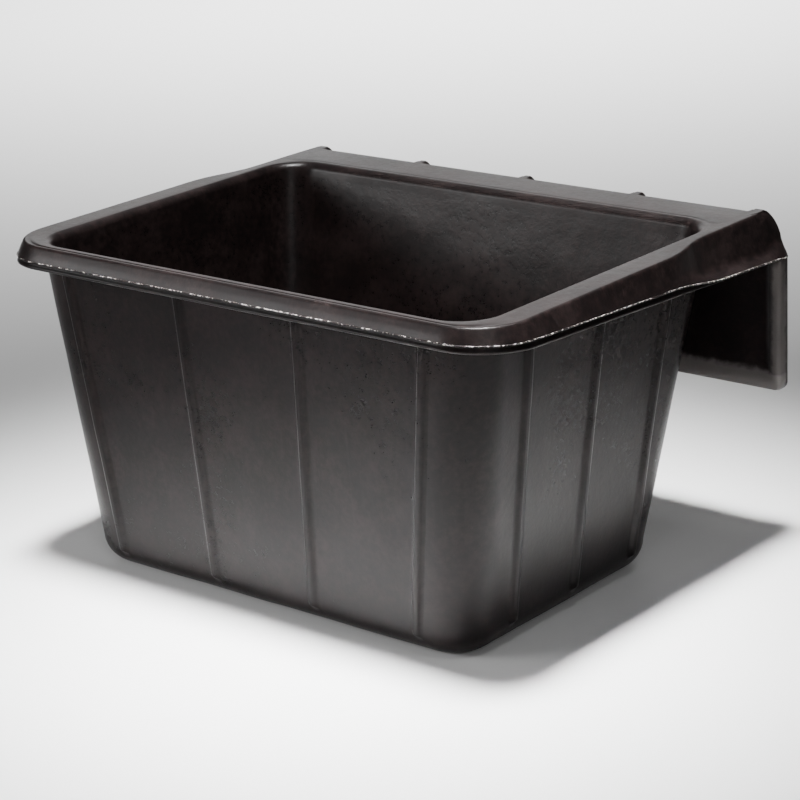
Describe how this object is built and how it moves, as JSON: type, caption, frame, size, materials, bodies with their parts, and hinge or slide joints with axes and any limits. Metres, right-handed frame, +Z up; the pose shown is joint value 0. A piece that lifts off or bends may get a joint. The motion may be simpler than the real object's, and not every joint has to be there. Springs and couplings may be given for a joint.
{
  "type": "hook-over feed bucket",
  "caption": "Tapered rectangular rubber feed tub with a broad flange and a deep hook along its back that hangs over a door or rail.",
  "frame": {"origin": "on the plane of the flat base, under the centre of the mouth", "axes": "+X along the bucket's length to the right-hand end seen from the front, +Y from the front wall towards the hook, +Z up"},
  "size_m": [0.403, 0.3135, 0.215],
  "materials": {
    "black_rubber": "semi-gloss, finely mottled compression-moulded recycled rubber"
  },
  "bodies": {
    "root": {"tub_shell": "black_rubber", "rim_flange": "black_rubber", "hook_deck": "black_rubber", "hook_web_left": "black_rubber", "hook_web_right": "black_rubber", "hook_plate": "black_rubber"}
  },
  "joints": []
}
